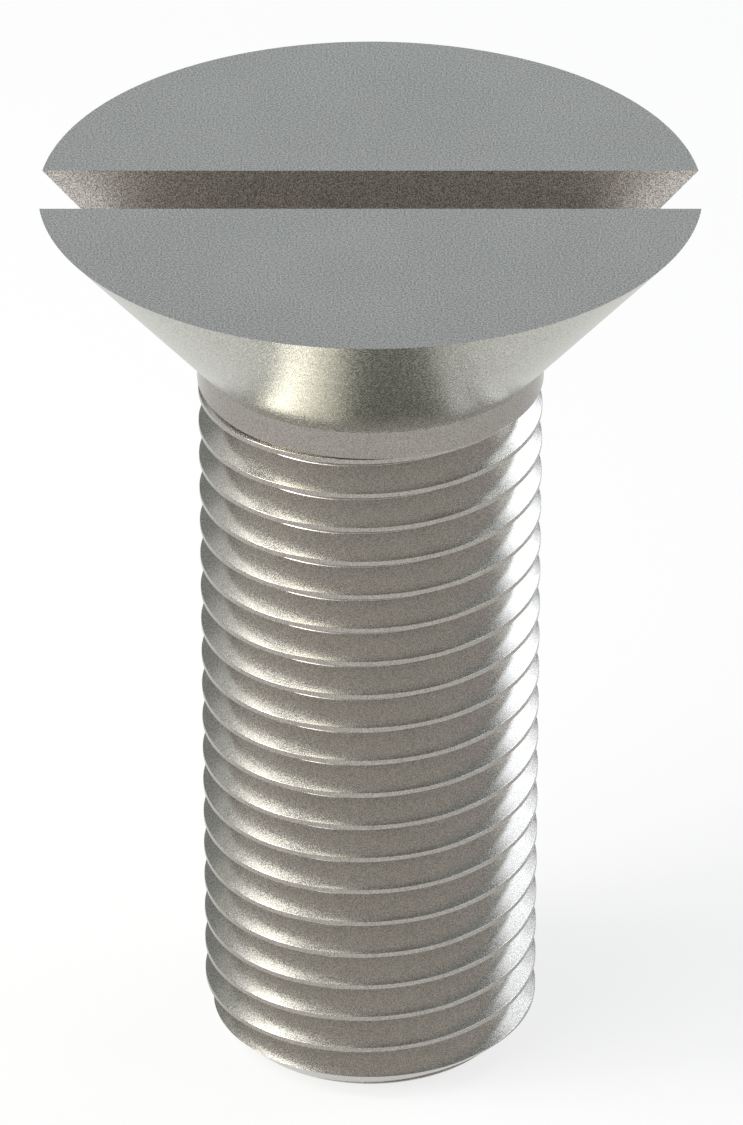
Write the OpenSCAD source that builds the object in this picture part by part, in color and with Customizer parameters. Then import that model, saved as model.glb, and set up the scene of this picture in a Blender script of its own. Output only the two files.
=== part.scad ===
// Slotted countersunk machine screw, 3/8 inch with a fine right-hand thread.
// It stands on its flat tip: Z runs up the axis, Z = 0 is the tip, and the slot runs along X.
// All lengths are in millimetres.

/* [Overall] */
// Length from the flat top of the head to the tip
length = 26.55; // [18:0.05:36]

/* [Head] */
// Diameter of the sharp rim round the flat top
head_d = 18; // [16:0.1:20]
// Included angle of the countersunk cone
head_angle = 82; // [78:1:100]
// Radius of the blend where the cone runs out onto the neck
blend_r = 3.4; // [1:0.1:6]
// Angle between the blend and the axis where it meets the neck
blend_end_angle = 35; // [28:1:38]

/* [Driver slot] */
// Width of the slot
slot_w = 2.23; // [1.6:0.01:3]
// Depth of the slot below the flat top
slot_depth = 2.24; // [1.4:0.01:2.8]

/* [Neck] */
// Diameter of the plain neck, which is the screw's nominal diameter
neck_d = 9.525; // [8.5:0.005:11]
// Height of the plain neck between the cone and the first thread
neck_h = 0.8; // [0.4:0.05:4]

/* [Thread] */
// How far the crests lie below the surface of the neck
crest_allowance = 0.0275; // [0.025:0.0025:0.1]
// Number of threads in one inch
threads_per_inch = 24; // [18:1:30]
// Angle between the two flanks of a groove
thread_angle = 60; // [50:1:60]
// Flat on each crest, as a share of the pitch
crest_share = 0.13; // [0.1:0.005:0.2]
// Radius at the bottom of the groove, as a share of the pitch
root_share = 0.05; // [0.03:0.005:0.16]
// Direction, counted from +X, in which the first crest leaves the neck
thread_start = -34; // [-180:1:180]
// Facets round one turn of the thread
thread_facets = 40; // [24:4:48]

/* [Tip] */
// Diameter of the flat end
tip_d = 7.85; // [6:0.05:8.4]
// Angle between the tip's chamfer and the axis
tip_angle = 45; // [30:1:60]

/* [Hidden] */
mm_per_inch = 25.4;
// Facets round the turned surfaces
turned_facets = 128;
// How far a cutting solid runs past the surface it cuts
past = 1;
// Points along the round at the bottom of the groove
root_points = 3;

head_r = head_d / 2;
neck_r = neck_d / 2;
crest_r = neck_r - crest_allowance;
cone_angle = head_angle / 2;

// The blend touches the cone at blend_top_r, and its centre lies outside the screw
blend_top_r = neck_r + blend_r * (cos(blend_end_angle) - cos(cone_angle));
blend_top_z = length - (head_r - blend_top_r) / tan(cone_angle);
blend_centre = [blend_top_r + blend_r * cos(cone_angle), blend_top_z - blend_r * sin(cone_angle)];
neck_top_z = blend_centre[1] + blend_r * sin(blend_end_angle);
thread_top_z = neck_top_z - neck_h;

// One pitch of the thread, as [radius, height above the lower edge of a crest]
pitch = mm_per_inch / threads_per_inch;
crest_h = crest_share * pitch;
root_r = root_share * pitch;
flank_angle = thread_angle / 2;
groove_h = pitch - crest_h;
root_centre_r = crest_r - groove_h / 2 / tan(flank_angle) + root_r / sin(flank_angle);
root_centre_h = crest_h + groove_h / 2;
root_reach = 90 - flank_angle;
profile = concat(
    [[crest_r, 0], [crest_r, crest_h]],
    [for (i = [0 : root_points - 1])
        let (a = root_reach * (2 * i / (root_points - 1) - 1))
        [root_centre_r - root_r * cos(a), root_centre_h + root_r * sin(a)]]
);

// The helix starts more than a turn below the tip and ends more than a turn above the thread's top
turns_down = ceil(thread_top_z / pitch) + 2;
turns = turns_down + 2;
helix_steps = turns * thread_facets;
edge_steps = helix_steps + thread_facets;
profile_n = len(profile);
helix_bottom_z = thread_top_z - turns_down * pitch;

function helix_point(step, at) =
    let (angle = thread_start + 360 * step / thread_facets)
    [profile[at][0] * cos(angle),
     profile[at][0] * sin(angle),
     helix_bottom_z + pitch * step / thread_facets + profile[at][1]];

// The points of the crest's lower edge come first, and then the other points of each step.
// The point after the last one of a profile is the crest edge one turn higher.
function helix_index(step, at) =
    at == 0 ? step
    : at == profile_n ? step + thread_facets
    : edge_steps + 1 + step * (profile_n - 1) + at - 1;

// A right-hand threaded rod with rough ends: a helical grid of points, closed by a fan at each end
module threaded_rod() {
    crest_edge = [for (step = [0 : edge_steps]) helix_point(step, 0)];
    groove = [for (step = [0 : helix_steps]) for (at = [1 : profile_n - 1]) helix_point(step, at)];
    bottom_centre = [0, 0, helix_bottom_z + pitch / 2];
    top_centre = [0, 0, helix_bottom_z + (turns + 0.5) * pitch];
    bottom = len(crest_edge) + len(groove);
    top = bottom + 1;
    flanks = [
        for (step = [0 : helix_steps - 1]) for (at = [0 : profile_n - 1])
        let (
            low_left = helix_index(step, at),
            low_right = helix_index(step + 1, at),
            high_left = helix_index(step, at + 1),
            high_right = helix_index(step + 1, at + 1)
        )
        each [[low_left, high_left, high_right], [low_left, high_right, low_right]]
    ];
    bottom_fan = [for (step = [0 : thread_facets - 1]) [bottom, step, step + 1]];
    bottom_step = [
        for (at = [0 : profile_n - 1]) [bottom, helix_index(0, at + 1), helix_index(0, at)]
    ];
    top_fan = [for (step = [helix_steps : edge_steps - 1]) [top, step + 1, step]];
    top_step = [
        for (at = [0 : profile_n - 1])
        [top, helix_index(helix_steps, at), helix_index(helix_steps, at + 1)]
    ];
    polyhedron(
        points = concat(crest_edge, groove, [bottom_centre, top_centre]),
        faces = concat(flanks, bottom_fan, bottom_step, top_fan, top_step),
        convexity = 10
    );
}

// The room that the thread may fill: flat at the neck, flat and chamfered at the tip
module thread_room() {
    room_r = crest_r + past;
    chamfer_h = (room_r - tip_d / 2) / tan(tip_angle);
    rotate_extrude($fn = turned_facets)
        polygon([
            [0, 0], [tip_d / 2, 0], [room_r, chamfer_h], [room_r, thread_top_z], [0, thread_top_z]
        ]);
}

module thread() {
    intersection() {
        threaded_rod();
        thread_room();
    }
}

module neck() {
    translate([0, 0, thread_top_z])
        cylinder(r = neck_r, h = neck_h, $fn = turned_facets);
}

// The flat top, the cone and the blend at its foot, turned in one
module head() {
    rotate_extrude($fn = turned_facets)
        difference() {
            polygon([
                [0, neck_top_z], [neck_r, neck_top_z], [blend_top_r, blend_top_z],
                [head_r, length], [0, length]
            ]);
            translate(blend_centre)
                circle(r = blend_r, $fn = turned_facets);
        }
}

module driver_slot() {
    slot_l = head_d + 2 * past;
    translate([-slot_l / 2, -slot_w / 2, length - slot_depth])
        cube([slot_l, slot_w, slot_depth + past]);
}

module screw() {
    color("silver")
        union() {
            difference() {
                head();
                driver_slot();
            }
            neck();
            thread();
        }
}

screw();
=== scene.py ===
"""The looks of a slotted countersunk machine screw that stands on its tip.

Sizes of the screw are in millimetres, as in the solid. Everything that goes to Blender is in metres.
"""

import math

import bpy
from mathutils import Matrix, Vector


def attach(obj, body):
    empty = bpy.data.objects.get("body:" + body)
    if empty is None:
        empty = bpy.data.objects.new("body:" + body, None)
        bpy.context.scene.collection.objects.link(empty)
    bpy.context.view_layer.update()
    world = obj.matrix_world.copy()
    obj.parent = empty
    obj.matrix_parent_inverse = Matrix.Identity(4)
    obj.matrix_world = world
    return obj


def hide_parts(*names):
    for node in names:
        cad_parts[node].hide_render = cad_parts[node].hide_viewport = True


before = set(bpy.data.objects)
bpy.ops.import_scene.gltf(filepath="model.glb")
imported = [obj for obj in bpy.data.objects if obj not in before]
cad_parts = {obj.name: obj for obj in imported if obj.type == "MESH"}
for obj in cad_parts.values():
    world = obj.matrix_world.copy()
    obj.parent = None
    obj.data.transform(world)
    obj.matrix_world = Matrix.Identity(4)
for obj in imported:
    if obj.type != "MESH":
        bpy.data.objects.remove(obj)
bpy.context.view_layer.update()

MM = 0.001

# The head: a flat top, a cone, and a blend from the cone to the neck
LENGTH = 26.55
HEAD_R = 9.0
CONE_ANGLE = math.radians(41)
BLEND_R = 3.4
BLEND_END_ANGLE = math.radians(35)

# The driver slot
SLOT_W = 2.23
SLOT_DEPTH = 2.24

# The neck. Its upper edge is rounded. Its foot has a bevel, which goes in by the first length and up by
# the second
NECK_R = 4.7625
NECK_H = 0.8
NECK_EDGE = 0.02
NECK_FOOT = (0.024, 0.05)

# The thread. The crest's height and the root's radius are shares of the pitch, and the crest's edges
# are rounded
MM_PER_INCH = 25.4
THREADS_PER_INCH = 24
CREST_SHARE = 0.13
ROOT_SHARE = 0.05
CREST_R = 4.735
PITCH = MM_PER_INCH / THREADS_PER_INCH
FLANK_ANGLE = math.radians(30)
CREST_H = CREST_SHARE * PITCH
ROOT_R = ROOT_SHARE * PITCH
CREST_EDGE = 0.012
THREAD_START = math.radians(-34)

# The tip. The edge of its flat end is rounded
TIP_R = 3.925
TIP_ANGLE = math.radians(45)
TIP_EDGE = 0.06

# How finely the screw is meshed, and the angle from which an edge is shaded as sharp
TURN_STEPS = 240
EDGE_POINTS = 3
ROOT_POINTS = 7
BLEND_POINTS = 8
SMOOTH_BELOW = math.radians(5)

# How far a cutting solid runs past what it cuts, and by how many turns the rod outruns the thread
PAST = 1.0
SPARE_TURNS = 2

# Faces that are nearer than this lie in one plane
TOUCH = 0.001

# A face looks along a direction where its normal has more than this share of it
FACING = 0.9

# Where the parts of the head meet, worked out as in the solid
BLEND_TOP_R = NECK_R + BLEND_R * (math.cos(BLEND_END_ANGLE) - math.cos(CONE_ANGLE))
BLEND_TOP_Z = LENGTH - (HEAD_R - BLEND_TOP_R) / math.tan(CONE_ANGLE)
BLEND_CENTRE = Vector(
    (BLEND_TOP_R + BLEND_R * math.cos(CONE_ANGLE), BLEND_TOP_Z - BLEND_R * math.sin(CONE_ANGLE))
)
NECK_TOP_Z = BLEND_CENTRE.y + BLEND_R * math.sin(BLEND_END_ANGLE)
THREAD_TOP_Z = NECK_TOP_Z - NECK_H


def rounded(before, corner, after, radius, points):
    """The arc that rounds a corner of an outline, as a list of points (radius, height)."""
    before, corner, after = Vector(before), Vector(corner), Vector(after)
    to_before = (before - corner).normalized()
    to_after = (after - corner).normalized()
    half = to_before.angle(to_after) / 2
    centre = corner + (to_before + to_after).normalized() * radius / math.sin(half)
    start = corner + to_before * radius / math.tan(half) - centre
    end = corner + to_after * radius / math.tan(half) - centre
    first = math.atan2(start.y, start.x)
    turn = (math.atan2(end.y, end.x) - first + math.pi) % math.tau - math.pi
    angles = [first + turn * i / (points - 1) for i in range(points)]
    return [centre + radius * Vector((math.cos(a), math.sin(a))) for a in angles]


def new_object(name, points, faces):
    """A mesh object from points in millimetres."""
    mesh = bpy.data.meshes.new(name)
    mesh.from_pydata([Vector(p) * MM for p in points], [], faces)
    mesh.update()
    made = bpy.data.objects.new(name, mesh)
    bpy.context.collection.objects.link(made)
    return made


def turned(name, outline):
    """A solid of revolution. The outline runs up from the axis to the axis, as (radius, height)."""
    inner = outline[1:-1]
    steps = TURN_STEPS
    points = [
        (r * math.cos(angle), r * math.sin(angle), z)
        for r, z in inner
        for angle in (THREAD_START + math.tau * step / steps for step in range(steps))
    ]
    bottom, top = len(points), len(points) + 1
    points += [(0, 0, outline[0][1]), (0, 0, outline[-1][1])]
    last = (len(inner) - 1) * steps
    faces = []
    for step in range(steps):
        after = (step + 1) % steps
        faces.append((bottom, after, step))
        faces.append((top, last + step, last + after))
        for ring in range(0, last, steps):
            faces.append((ring + step, ring + after, ring + steps + after, ring + steps + step))
    return new_object(name, points, faces)


def thread_profile():
    """One pitch of the thread, upwards from the lower edge of a crest: two crest edges and the root."""
    groove_h = PITCH - CREST_H
    lower = (CREST_R, 0)
    upper = (CREST_R, CREST_H)
    apex = (CREST_R - groove_h / 2 / math.tan(FLANK_ANGLE), CREST_H + groove_h / 2)
    apex_below = (apex[0], apex[1] - PITCH)
    next_lower = (CREST_R, PITCH)
    return (
        rounded(apex_below, lower, upper, CREST_EDGE, EDGE_POINTS)
        + rounded(lower, upper, apex, CREST_EDGE, EDGE_POINTS)
        + rounded(upper, apex, next_lower, ROOT_R, ROOT_POINTS)
    )


def threaded_rod():
    """A right-hand threaded rod, longer than the screw's thread at both ends."""
    profile = thread_profile()
    count = len(profile)
    turns_down = math.ceil(THREAD_TOP_Z / PITCH) + SPARE_TURNS
    steps = (turns_down + SPARE_TURNS) * TURN_STEPS
    edge_steps = steps + TURN_STEPS
    bottom_z = THREAD_TOP_Z - turns_down * PITCH

    def point(step, at):
        angle = THREAD_START + math.tau * step / TURN_STEPS
        r, h = profile[at]
        return (r * math.cos(angle), r * math.sin(angle), bottom_z + PITCH * step / TURN_STEPS + h)

    def index(step, at):
        if at == 0:
            return step
        if at == count:
            return step + TURN_STEPS
        return edge_steps + 1 + step * (count - 1) + at - 1

    points = [point(step, 0) for step in range(edge_steps + 1)]
    points += [point(step, at) for step in range(steps + 1) for at in range(1, count)]
    bottom, top = len(points), len(points) + 1
    points += [(0, 0, bottom_z + PITCH / 2), (0, 0, bottom_z + PITCH * (steps / TURN_STEPS + 0.5))]
    faces = [
        (index(step, at), index(step + 1, at), index(step + 1, at + 1), index(step, at + 1))
        for step in range(steps)
        for at in range(count)
    ]
    faces += [(bottom, step + 1, step) for step in range(TURN_STEPS)]
    faces += [(top, step, step + 1) for step in range(steps, edge_steps)]
    for at in range(count):
        faces.append((bottom, index(0, at), index(0, at + 1)))
        faces.append((top, index(steps, at + 1), index(steps, at)))
    return new_object("threaded_rod", points, faces)


def thread_room():
    """What the thread may fill: flat under the neck, chamfered at the tip."""
    room_r = CREST_R + PAST
    chamfer_top = (room_r, (room_r - TIP_R) / math.tan(TIP_ANGLE))
    tip_edge = rounded((0, 0), (TIP_R, 0), chamfer_top, TIP_EDGE, EDGE_POINTS)
    return turned(
        "thread_room", [(0, 0), *tip_edge, chamfer_top, (room_r, THREAD_TOP_Z), (0, THREAD_TOP_Z)]
    )


def head_blank():
    """The head and the neck before the slot is cut."""
    turn = CONE_ANGLE - BLEND_END_ANGLE
    angles = [BLEND_END_ANGLE + turn * i / (BLEND_POINTS - 1) for i in range(BLEND_POINTS)]
    blend = [BLEND_CENTRE + BLEND_R * Vector((-math.cos(a), math.sin(a))) for a in angles]
    neck_foot = (NECK_R, THREAD_TOP_Z + NECK_FOOT[1])
    return turned(
        "head_blank",
        [
            (0, THREAD_TOP_Z),
            (NECK_R - NECK_FOOT[0], THREAD_TOP_Z),
            neck_foot,
            *rounded(neck_foot, blend[0], blend[1], NECK_EDGE, EDGE_POINTS),
            *blend[1:],
            (HEAD_R, LENGTH),
            (0, LENGTH),
        ],
    )


def slot_cutter():
    """A block that is as wide as the slot and runs past the head on three sides."""
    x, y = HEAD_R + PAST, SLOT_W / 2
    low, high = LENGTH - SLOT_DEPTH, LENGTH + PAST
    corners = ((-1, -1), (1, -1), (1, 1), (-1, 1))
    points = [(sx * x, sy * y, z) for z in (low, high) for sx, sy in corners]
    faces = [(3, 2, 1, 0), (4, 5, 6, 7)]
    faces += [(i, (i + 1) % 4, (i + 1) % 4 + 4, i + 4) for i in range(4)]
    return new_object("slot_cutter", points, faces)


def combine(target, tool, operation):
    """Applies a boolean of two closed meshes to the target, and removes the tool."""
    boolean = target.modifiers.new(operation.lower(), "BOOLEAN")
    boolean.operation = operation
    boolean.solver = "MANIFOLD"
    boolean.object = tool
    apply_modifiers(target)
    bpy.data.objects.remove(tool)


def apply_modifiers(target):
    """Bakes the modifiers of an object into its mesh."""
    depsgraph = bpy.context.evaluated_depsgraph_get()
    mesh = bpy.data.meshes.new_from_object(target.evaluated_get(depsgraph))
    target.modifiers.clear()
    target.data = mesh


def make_screw():
    """The whole screw as one closed mesh."""
    screw = head_blank()
    combine(screw, slot_cutter(), "DIFFERENCE")
    thread = threaded_rod()
    combine(thread, thread_room(), "INTERSECT")
    combine(screw, thread, "UNION")
    screw.name = "countersunk_screw"
    screw.data.shade_smooth()
    screw.data.set_sharp_from_angle(angle=SMOOTH_BELOW)
    return screw


# The finish of each surface: the size of its grain in millimetres, the grain's dark and light tint,
# its lowest and highest roughness, and its depth in millimetres. The tints of the neck and the
# crests are darker than the plain steel of the cone and the top, as painted shade, and those of
# the flanks and the slot are lighter, as painted light in the grooves and in the slot
FINISHES_AND_PAINTED_LIGHT = {
    # Tinted darker than the plain steel: painted shade
    "neck_steel_painted_shade": (0.036, ((0.235, 0.220, 0.201), (0.405, 0.379, 0.346)), (0.19, 0.28), 0.0006),
    # Tinted a little darker than the plain steel: painted shade
    "crest_steel_painted_shade": (0.036, ((0.275, 0.258, 0.237), (0.48, 0.45, 0.413)), (0.19, 0.28), 0.0006),
    # Tinted lighter than the plain steel: painted light deep in the grooves
    "flank_steel_painted_light": (0.036, ((0.354, 0.337, 0.314), (0.629, 0.599, 0.558)), (0.21, 0.29), 0.0006),
    "cone_steel": (0.05, ((0.22, 0.218, 0.190), (0.59, 0.584, 0.508)), (0.2, 0.3), 0.0012),
    "top_steel": (0.05, ((0.23, 0.224, 0.213), (0.63, 0.614, 0.583)), (0.2, 0.3), 0.0012),
    # Tinted much lighter than the plain steel: painted light in the slot
    "slot_steel_painted_light": (0.034, ((0.23, 0.216, 0.203), (0.865, 0.812, 0.763)), (0.38, 0.5), 0.0015),
}
GRAIN_DETAIL = 1.0

# The middle of a noise, which is stretched over the whole range
GRAIN_SPREAD = (0.36, 0.64)

# The faint cloudiness over the grain: its size in millimetres, and its share of the tint
CLOUD_SIZE = 2.5
CLOUD_DETAIL = 4.0
CLOUD_SHARE = 0.05


def finish_and_painted_light_of(face):
    """The name of the finish that a face of the screw has, with painted shade on the neck and the crests
    and painted light on the flanks and in the slot.
    """
    y, z = abs(face.center.y) / MM, face.center.z / MM
    if z < THREAD_TOP_Z:
        return "crest_steel_painted_shade" if math.hypot(face.normal.x, face.normal.y) > FACING else "flank_steel_painted_light"
    if z < NECK_TOP_Z:
        return "neck_steel_painted_shade"
    if z > LENGTH - TOUCH:
        return "top_steel"
    cut = abs(face.normal.y) > FACING or face.normal.z > FACING
    return "slot_steel_painted_light" if cut and y < SLOT_W / 2 + TOUCH else "cone_steel"


def noise(nodes, links, place, size, detail):
    """A noise texture with features of the given size in millimetres."""
    texture = nodes.new("ShaderNodeTexNoise")
    texture.inputs["Scale"].default_value = 1 / (size * MM)
    texture.inputs["Detail"].default_value = detail
    links.new(place, texture.inputs["Vector"])
    return texture.outputs["Fac"]


def spread(nodes, links, value, low, high):
    """Stretches the middle of a noise over the range from low to high."""
    stretch = nodes.new("ShaderNodeMapRange")
    stretch.inputs["From Min"].default_value = GRAIN_SPREAD[0]
    stretch.inputs["From Max"].default_value = GRAIN_SPREAD[1]
    stretch.inputs["To Min"].default_value = low
    stretch.inputs["To Max"].default_value = high
    links.new(value, stretch.inputs["Value"])
    return stretch.outputs["Result"]


def grainy_metal(name, grain_size, tints, roughness, grain_depth):
    """Plain steel with a fine matt grain, and a faint cloudiness over it."""
    material = bpy.data.materials.new(name)
    material.use_nodes = True
    nodes, links = material.node_tree.nodes, material.node_tree.links
    shader = nodes["Principled BSDF"]
    shader.inputs["Metallic"].default_value = 1.0
    place = nodes.new("ShaderNodeTexCoord").outputs["Object"]
    grain = noise(nodes, links, place, grain_size, GRAIN_DETAIL)
    cloud = noise(nodes, links, place, CLOUD_SIZE, CLOUD_DETAIL)

    blend = nodes.new("ShaderNodeMix")
    blend.inputs["Factor"].default_value = CLOUD_SHARE
    links.new(spread(nodes, links, grain, 0.0, 1.0), blend.inputs["A"])
    links.new(spread(nodes, links, cloud, 0.0, 1.0), blend.inputs["B"])

    tint = nodes.new("ShaderNodeMix")
    tint.data_type = "RGBA"
    tint.inputs["A"].default_value = (*tints[0], 1)
    tint.inputs["B"].default_value = (*tints[1], 1)
    links.new(blend.outputs["Result"], tint.inputs["Factor"])
    links.new(tint.outputs["Result"], shader.inputs["Base Color"])
    links.new(spread(nodes, links, grain, *roughness), shader.inputs["Roughness"])

    bump = nodes.new("ShaderNodeBump")
    bump.inputs["Strength"].default_value = 1.0
    bump.inputs["Distance"].default_value = grain_depth * MM
    links.new(grain, bump.inputs["Height"])
    links.new(bump.outputs["Normal"], shader.inputs["Normal"])
    return material


# The setting: a pale floor with its side in metres, and a soft sky. To the eye and in the metal,
# the white share of the floor is plain white, and the lamps light the rest
FLOOR_SIZE = 4.0
FLOOR_COLOUR = (0.89, 0.88, 0.885)
FLOOR_ROUGHNESS = 0.9
FLOOR_SPECULAR = 0.1
FLOOR_WHITE_SHARE = 0.75
SKY_COLOUR = (0.95, 1.01, 0.98)
SKY_STRENGTH = 0.3

# The softboxes: name, degrees right of the front, degrees above the level, distance, width and height
# in millimetres, radiance, and colour
WARM = (1.01, 1.02, 0.97)
COOL = (0.93, 1.0, 1.09)
SOFTBOXES = (
    ("left_front_low", -40, 22, 220, 60, 60, 1.7, WARM),
    ("left_middle_low", -55, 22, 220, 60, 60, 5.5, WARM),
    ("left_low", -70, 22, 220, 60, 60, 11.0, WARM),
    ("left_front", -47.5, 38, 220, 105, 60, 4.1, WARM),
    ("left", -70, 38, 220, 60, 60, 3.1, WARM),
    ("left_side", -85, 38, 220, 60, 60, 11.6, WARM),
    ("left_high", -82, 54, 220, 60, 60, 5.6, WARM),
    ("left_back", -100, 50, 220, 40, 40, 7.1, WARM),
    ("left_back_low", -110, 42, 220, 40, 40, 1.95, WARM),
    ("glint_high", -118, 57, 220, 40, 40, 0.86, WARM),
    ("glint", -124, 50, 220, 40, 40, 2.1, WARM),
    ("glint_low", -132, 42, 220, 40, 40, 0.8, WARM),
    ("glint_edge", -140, 32, 220, 40, 40, 0.56, WARM),
    ("right_front", 75, 38, 220, 60, 60, 2.7, COOL),
    ("right", 106, 25, 220, 60, 60, 5.6, COOL),
    ("right_low", 112, 6, 220, 80, 40, 3.0, COOL),
    ("band_high", 129, 43, 220, 40, 40, 2.4, COOL),
    ("band", 134, 37, 220, 40, 40, 2.1, COOL),
    ("band_low", 140, 30, 220, 40, 40, 3.35, COOL),
    ("band_edge", 147, 22, 220, 40, 40, 2.0, COOL),
    ("back", 180, 30, 260, 120, 70, 0.55, COOL),
)


def larger(nodes, links, first, second):
    """The larger of two values."""
    maximum = nodes.new("ShaderNodeMath")
    maximum.operation = "MAXIMUM"
    links.new(first, maximum.inputs[0])
    links.new(second, maximum.inputs[1])
    return maximum.outputs["Value"]


def pale_floor():
    """A plain white floor under the tip, with a soft shadow."""
    half = FLOOR_SIZE / 2 / MM
    floor = new_object(
        "floor", [(-half, -half, 0), (half, -half, 0), (half, half, 0), (-half, half, 0)], [(0, 1, 2, 3)]
    )
    material = bpy.data.materials.new("pale_floor")
    material.use_nodes = True
    nodes, links = material.node_tree.nodes, material.node_tree.links
    shader = nodes["Principled BSDF"]
    shader.inputs["Base Color"].default_value = (*FLOOR_COLOUR, 1)
    shader.inputs["Roughness"].default_value = FLOOR_ROUGHNESS
    shader.inputs["Specular IOR Level"].default_value = FLOOR_SPECULAR

    white = nodes.new("ShaderNodeEmission")
    white.inputs["Color"].default_value = (1, 1, 1, 1)
    white.inputs["Strength"].default_value = 1.0
    rays = nodes.new("ShaderNodeLightPath").outputs
    mirrored = larger(nodes, links, rays["Is Glossy Ray"], rays["Is Transmission Ray"])
    seen = larger(nodes, links, rays["Is Camera Ray"], mirrored)
    share = nodes.new("ShaderNodeMath")
    share.operation = "MULTIPLY"
    share.inputs[1].default_value = FLOOR_WHITE_SHARE
    links.new(seen, share.inputs[0])
    mix = nodes.new("ShaderNodeMixShader")
    links.new(share.outputs["Value"], mix.inputs["Fac"])
    links.new(shader.outputs["BSDF"], mix.inputs[1])
    links.new(white.outputs["Emission"], mix.inputs[2])
    links.new(mix.outputs["Shader"], nodes["Material Output"].inputs["Surface"])
    floor.data.materials.append(material)


def sky():
    """Even soft light from all round."""
    world = bpy.data.worlds.new("soft_sky")
    world.use_nodes = True
    background = world.node_tree.nodes["Background"]
    background.inputs["Color"].default_value = (*SKY_COLOUR, 1)
    background.inputs["Strength"].default_value = SKY_STRENGTH
    bpy.context.scene.world = world


def softbox(name, azimuth, elevation, distance, width, height, radiance, colour):
    """A rectangular lamp aimed at the middle of the screw. Azimuth is degrees right of the front."""
    lamp = bpy.data.lights.new(name, "AREA")
    lamp.shape = "RECTANGLE"
    lamp.size = width * MM
    lamp.size_y = height * MM
    lamp.energy = radiance * math.pi * lamp.size * lamp.size_y
    lamp.color = colour
    box = bpy.data.objects.new(name, lamp)
    bpy.context.collection.objects.link(box)
    a, e = math.radians(azimuth), math.radians(elevation)
    away = Vector((math.sin(a) * math.cos(e), -math.cos(a) * math.cos(e), math.sin(e)))
    box.location = (Vector((0, 0, LENGTH / 2)) + away * distance) * MM
    box.rotation_mode = "QUATERNION"
    box.rotation_quaternion = away.to_track_quat("Z", "Y")
    box.visible_camera = False


def lamps():
    """Softboxes round the screw: warm on the left, cool on the right and behind."""
    for name, azimuth, elevation, distance, width, height, radiance, colour in SOFTBOXES:
        softbox(name, azimuth, elevation, distance, width, height, radiance, colour)


# The camera, fitted to the photo's perspective: the head's rim, the cone and the crests
CAMERA_PLACE = (0.03, -185.1, 122.9)
CAMERA_DOWN = math.radians(30.273)
CAMERA_LENS = 246.2
SENSOR = 36.0

# The nearest and the farthest that it sees, in metres
CAMERA_RANGE = (0.01, 10)


def camera():
    """The photo's viewpoint."""
    data = bpy.data.cameras.new("camera")
    data.lens = CAMERA_LENS
    data.sensor_width = SENSOR
    data.clip_start, data.clip_end = CAMERA_RANGE
    eye = bpy.data.objects.new("camera", data)
    bpy.context.collection.objects.link(eye)
    eye.location = Vector(CAMERA_PLACE) * MM
    eye.rotation_euler = (math.pi / 2 - CAMERA_DOWN, 0, 0)
    bpy.context.scene.camera = eye


screw = make_screw()
screw.data.materials.clear()
for name, finish_and_painted_light in FINISHES_AND_PAINTED_LIGHT.items():
    screw.data.materials.append(grainy_metal(name, *finish_and_painted_light))
# Each face takes its finish, with painted shade on the neck and crests and painted light on the flanks
# and in the slot
finish_and_painted_light_names = list(FINISHES_AND_PAINTED_LIGHT)
for face in screw.data.polygons:
    face.material_index = finish_and_painted_light_names.index(finish_and_painted_light_of(face))
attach(screw, "root")
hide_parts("screw")

pale_floor()
sky()
lamps()
camera()
bpy.context.scene.view_settings.view_transform = "Standard"
